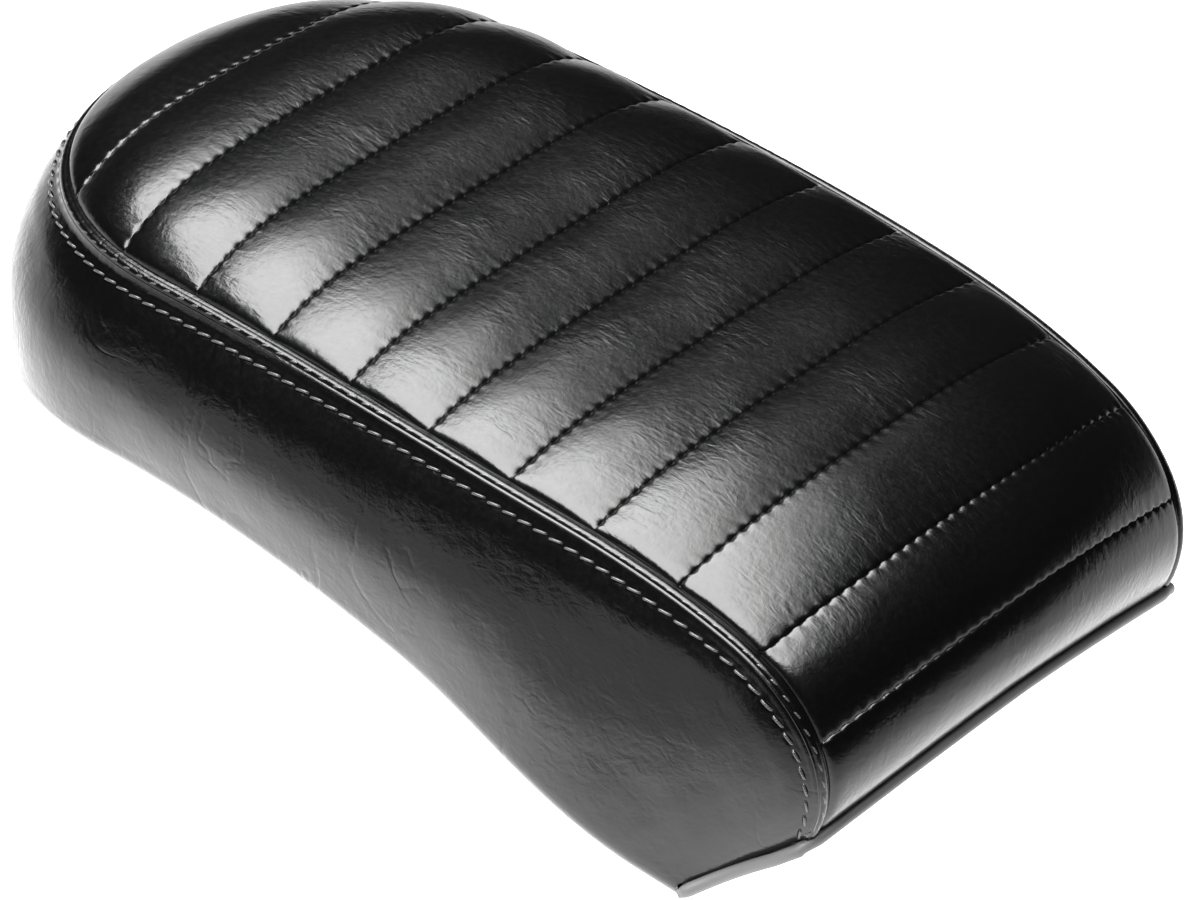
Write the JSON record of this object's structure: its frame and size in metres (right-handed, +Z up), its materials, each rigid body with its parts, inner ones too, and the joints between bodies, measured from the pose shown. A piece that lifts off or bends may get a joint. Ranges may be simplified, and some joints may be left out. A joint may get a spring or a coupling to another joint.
{
  "type": "motorcycle pillion seat pad",
  "caption": "Pleated vinyl pillion seat pad with a rounded rear, a wrapped-down front, a formed steel pan and two threaded mounts under it.",
  "frame": {"origin": "centre of the pad's box in plan, on the plane that its two front wings and its rear edge rest on", "axes": "+Z up, +Y towards the front (rider's) end, +X to the rider's right"},
  "size_m": [0.1946, 0.2963, 0.0838],
  "materials": {
    "vinyl": "semi-gloss black upholstery vinyl with a fine wrinkle grain",
    "thread": "bonded black polyester sewing thread",
    "foam": "open-cell seat foam",
    "felt": "needled felt",
    "rubber": "matt black rubber",
    "pan_paint": "black powder coat",
    "zinc_plate": "bright zinc plate"
  },
  "bodies": {
    "pad": {"base_pan": "pan_paint", "bumper_front_left": "rubber", "bumper_front_right": "rubber", "bumper_rear_left": "rubber", "bumper_rear_right": "rubber", "edge_trim": "rubber", "fender_liner": "felt", "foam_core": "foam", "front_mounting_bolt": "zinc_plate", "front_spacer": "rubber", "hem_rivet_left_1": "zinc_plate", "hem_rivet_left_2": "zinc_plate", "hem_rivet_left_3": "zinc_plate", "hem_rivet_left_4": "zinc_plate", "hem_rivet_left_5": "zinc_plate", "hem_rivet_left_6": "zinc_plate", "hem_rivet_right_1": "zinc_plate", "hem_rivet_right_2": "zinc_plate", "hem_rivet_right_3": "zinc_plate", "hem_rivet_right_4": "zinc_plate", "hem_rivet_right_5": "zinc_plate", "hem_rivet_right_6": "zinc_plate", "pleat_foam": "foam", "rear_mounting_bolt": "zinc_plate", "rear_spacer": "rubber", "side_band": "vinyl", "top_panel": "vinyl"},
    "front_washer_body": {"front_washer": "zinc_plate"},
    "front_nut_body": {"front_thumb_nut": "zinc_plate"},
    "rear_washer_body": {"rear_washer": "zinc_plate"},
    "rear_nut_body": {"rear_thumb_nut": "zinc_plate"}
  },
  "joints": [
    {"name": "front_washer_slide", "type": "slide", "parent": "pad", "child": "front_washer_body", "axis": [0, 0, -1], "range_m": [-0.00254, 0.01143]},
    {"name": "front_nut_turn", "type": "hinge", "parent": "front_washer_body", "child": "front_nut_body", "pos_m": [0, 0.0635, 0.035], "axis": [0, 0, -1], "range_deg": [-720, 3240]},
    {"name": "rear_washer_slide", "type": "slide", "parent": "pad", "child": "rear_washer_body", "axis": [0, 0, -1], "range_m": [-0.00254, 0.01143]},
    {"name": "rear_nut_turn", "type": "hinge", "parent": "rear_washer_body", "child": "rear_nut_body", "pos_m": [0, -0.0635, 0.035], "axis": [0, 0, -1], "range_deg": [-720, 3240]}
  ],
  "couplings": [
    {"joint": "front_washer_slide", "follows": "front_nut_turn", "m_per_rad": 0.00020213},
    {"joint": "rear_washer_slide", "follows": "rear_nut_turn", "m_per_rad": 0.00020213}
  ]
}
